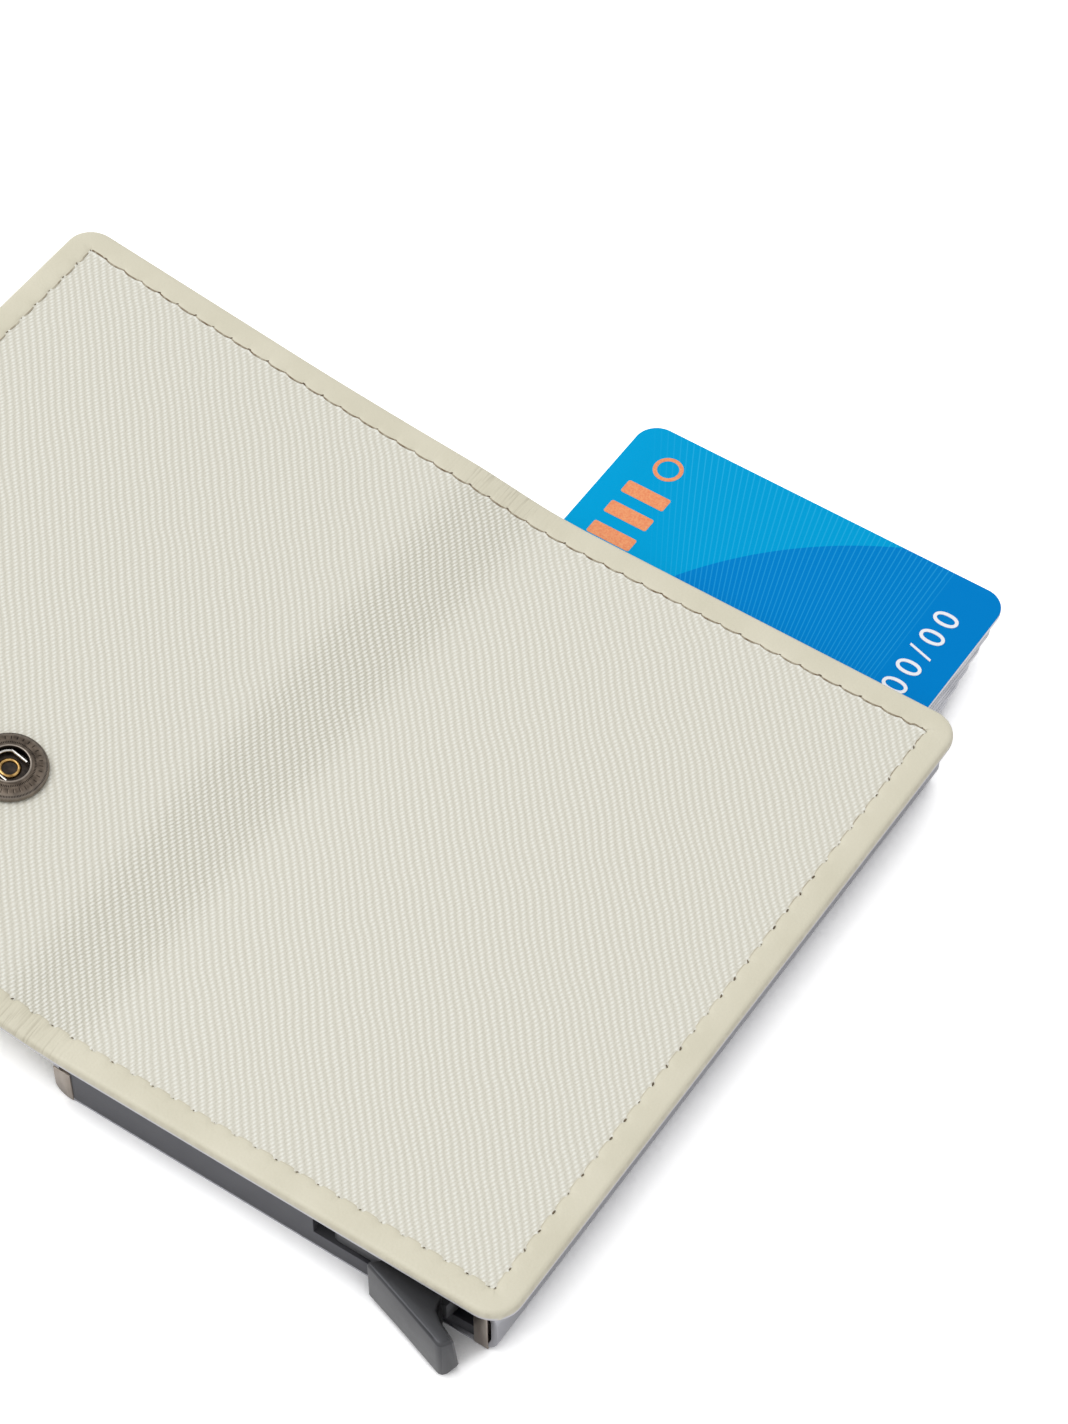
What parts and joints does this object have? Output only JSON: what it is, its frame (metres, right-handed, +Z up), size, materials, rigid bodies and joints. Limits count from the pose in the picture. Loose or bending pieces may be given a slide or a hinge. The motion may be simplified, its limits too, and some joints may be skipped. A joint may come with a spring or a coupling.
{
  "type": "card case wallet",
  "caption": "Open card-case wallet: aluminium case with trigger lever, fanned cards, and a leather wrap with twill lining, snap socket and note strap.",
  "frame": {"origin": "middle of the card case's flat underside", "axes": "+X across the case away from the wrap's free panel, +Y the way the cards come out, +Z up"},
  "size_m": [0.1884, 0.1268, 0.0214],
  "materials": {
    "anodised_aluminium": "satin anodised",
    "steel": "cold rolled",
    "black_plastic": "moulded, satin",
    "felt": "pressed felt",
    "printed_card": "printed and laminated",
    "card_plastic": "laminated",
    "leather": "smooth coated leather",
    "board": "fibre board",
    "twill_lining": "woven twill",
    "adhesive": "bonding film",
    "gunmetal": "gunmetal plated",
    "brass": "plated spring wire"
  },
  "bodies": {
    "case": {"case_shell": "anodised_aluminium", "end_block": "black_plastic", "pivot_pin": "steel", "guide_rail_left": "steel", "guide_rail_right": "steel", "guide_foot_left": "steel", "felt_strip_left": "felt", "felt_strip_right": "felt", "friction_pad": "felt", "adhesive_sheet": "adhesive", "wrap_leather_right": "leather", "wrap_board_right": "board", "wrap_lining_right": "twill_lining"},
    "lever": {"ejector_lever": "black_plastic"},
    "card_1": {"card_1": "printed_card"},
    "card_2": {"card_2": "card_plastic"},
    "card_3": {"card_3": "card_plastic"},
    "card_4": {"card_4": "card_plastic"},
    "card_5": {"card_5": "card_plastic"},
    "card_6": {"card_6": "card_plastic"},
    "spine": {"wrap_leather_spine": "leather", "wrap_lining_spine": "twill_lining"},
    "cover": {"wrap_leather_left": "leather", "wrap_board_left": "board", "wrap_lining_left": "twill_lining", "snap_socket": "gunmetal", "snap_spring": "brass", "snap_rivet": "gunmetal", "strap_anchor": "leather"},
    "strap": {"note_strap": "leather", "note_strap_lining": "twill_lining", "snap_stud": "gunmetal", "snap_stud_cap": "gunmetal"}
  },
  "joints": [
    {"name": "lever_pivot", "type": "hinge", "parent": "case", "child": "lever", "pos_m": [0.0238, -0.0442, 0.0045], "axis": [0, 0, 1], "range_deg": [0, 32]},
    {"name": "card_1_slide", "type": "slide", "parent": "case", "child": "card_1", "axis": [0, 1, 0], "range_m": [-0.02373, 0]},
    {"name": "card_2_slide", "type": "slide", "parent": "case", "child": "card_2", "axis": [0, 1, 0], "range_m": [-0.02128, 0]},
    {"name": "card_3_slide", "type": "slide", "parent": "case", "child": "card_3", "axis": [0, 1, 0], "range_m": [-0.01883, 0]},
    {"name": "card_4_slide", "type": "slide", "parent": "case", "child": "card_4", "axis": [0, 1, 0], "range_m": [-0.01637, 0]},
    {"name": "card_5_slide", "type": "slide", "parent": "case", "child": "card_5", "axis": [0, 1, 0], "range_m": [-0.01391, 0]},
    {"name": "card_6_slide", "type": "slide", "parent": "case", "child": "card_6", "axis": [0, 1, 0], "range_m": [-0.01145, 0]},
    {"name": "spine_fold", "type": "hinge", "parent": "case", "child": "spine", "pos_m": [-0.0307, 0, 0.01105], "axis": [0, 1, 0], "range_deg": [-4, 81.5]},
    {"name": "cover_fold", "type": "hinge", "parent": "spine", "child": "cover", "pos_m": [-0.03762, 0, 0.01209], "axis": [0, 1, 0], "range_deg": [-4.5, 90.1]},
    {"name": "strap_fold", "type": "hinge", "parent": "cover", "child": "strap", "pos_m": [-0.10204, -0.0224, 0.0208], "axis": [0, 1, 0], "range_deg": [0, 190.8]}
  ],
  "couplings": [
    {"joint": "lever_pivot", "follows": "card_1_slide", "rad_per_m": -23.529},
    {"joint": "card_2_slide", "follows": "card_1_slide", "ratio": 0.8965},
    {"joint": "card_3_slide", "follows": "card_1_slide", "ratio": 0.793},
    {"joint": "card_4_slide", "follows": "card_1_slide", "ratio": 0.6895},
    {"joint": "card_5_slide", "follows": "card_1_slide", "ratio": 0.586},
    {"joint": "card_6_slide", "follows": "card_1_slide", "ratio": 0.4825},
    {"joint": "cover_fold", "follows": "spine_fold", "ratio": 1.1043}
  ]
}
